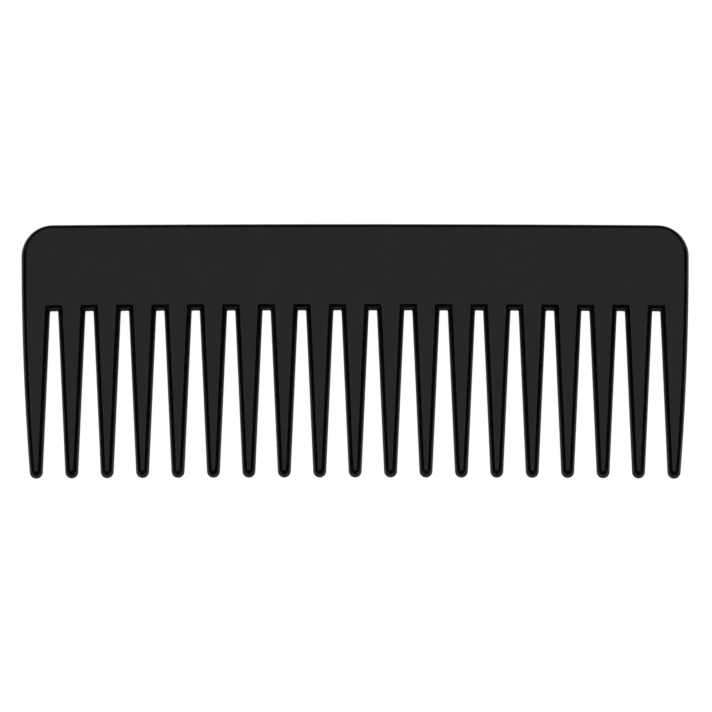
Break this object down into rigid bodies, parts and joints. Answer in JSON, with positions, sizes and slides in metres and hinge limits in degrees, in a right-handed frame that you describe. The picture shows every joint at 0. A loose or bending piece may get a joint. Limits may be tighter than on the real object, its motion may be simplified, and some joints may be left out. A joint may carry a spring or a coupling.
{
  "type": "wide tooth comb",
  "caption": "Flat moulded wide tooth comb with a deep spine, rounded corners and long tapering teeth with round tips, for detangling hair.",
  "frame": {"origin": "on the back face, under the middle of the comb's outline", "axes": "+X along the comb's length, -Y the way the teeth point, +Z out of the front face; the comb lies on its back face"},
  "size_m": [0.165, 0.063, 0.0038],
  "materials": {
    "black_plastic": "glossy, near-black, with polished bevels"
  },
  "bodies": {
    "root": {"spine": "black_plastic", "tooth_01": "black_plastic", "tooth_02": "black_plastic", "tooth_03": "black_plastic", "tooth_04": "black_plastic", "tooth_05": "black_plastic", "tooth_06": "black_plastic", "tooth_07": "black_plastic", "tooth_08": "black_plastic", "tooth_09": "black_plastic", "tooth_10": "black_plastic", "tooth_11": "black_plastic", "tooth_12": "black_plastic", "tooth_13": "black_plastic", "tooth_14": "black_plastic", "tooth_15": "black_plastic", "tooth_16": "black_plastic", "tooth_17": "black_plastic", "tooth_18": "black_plastic", "tooth_19": "black_plastic"}
  },
  "joints": []
}
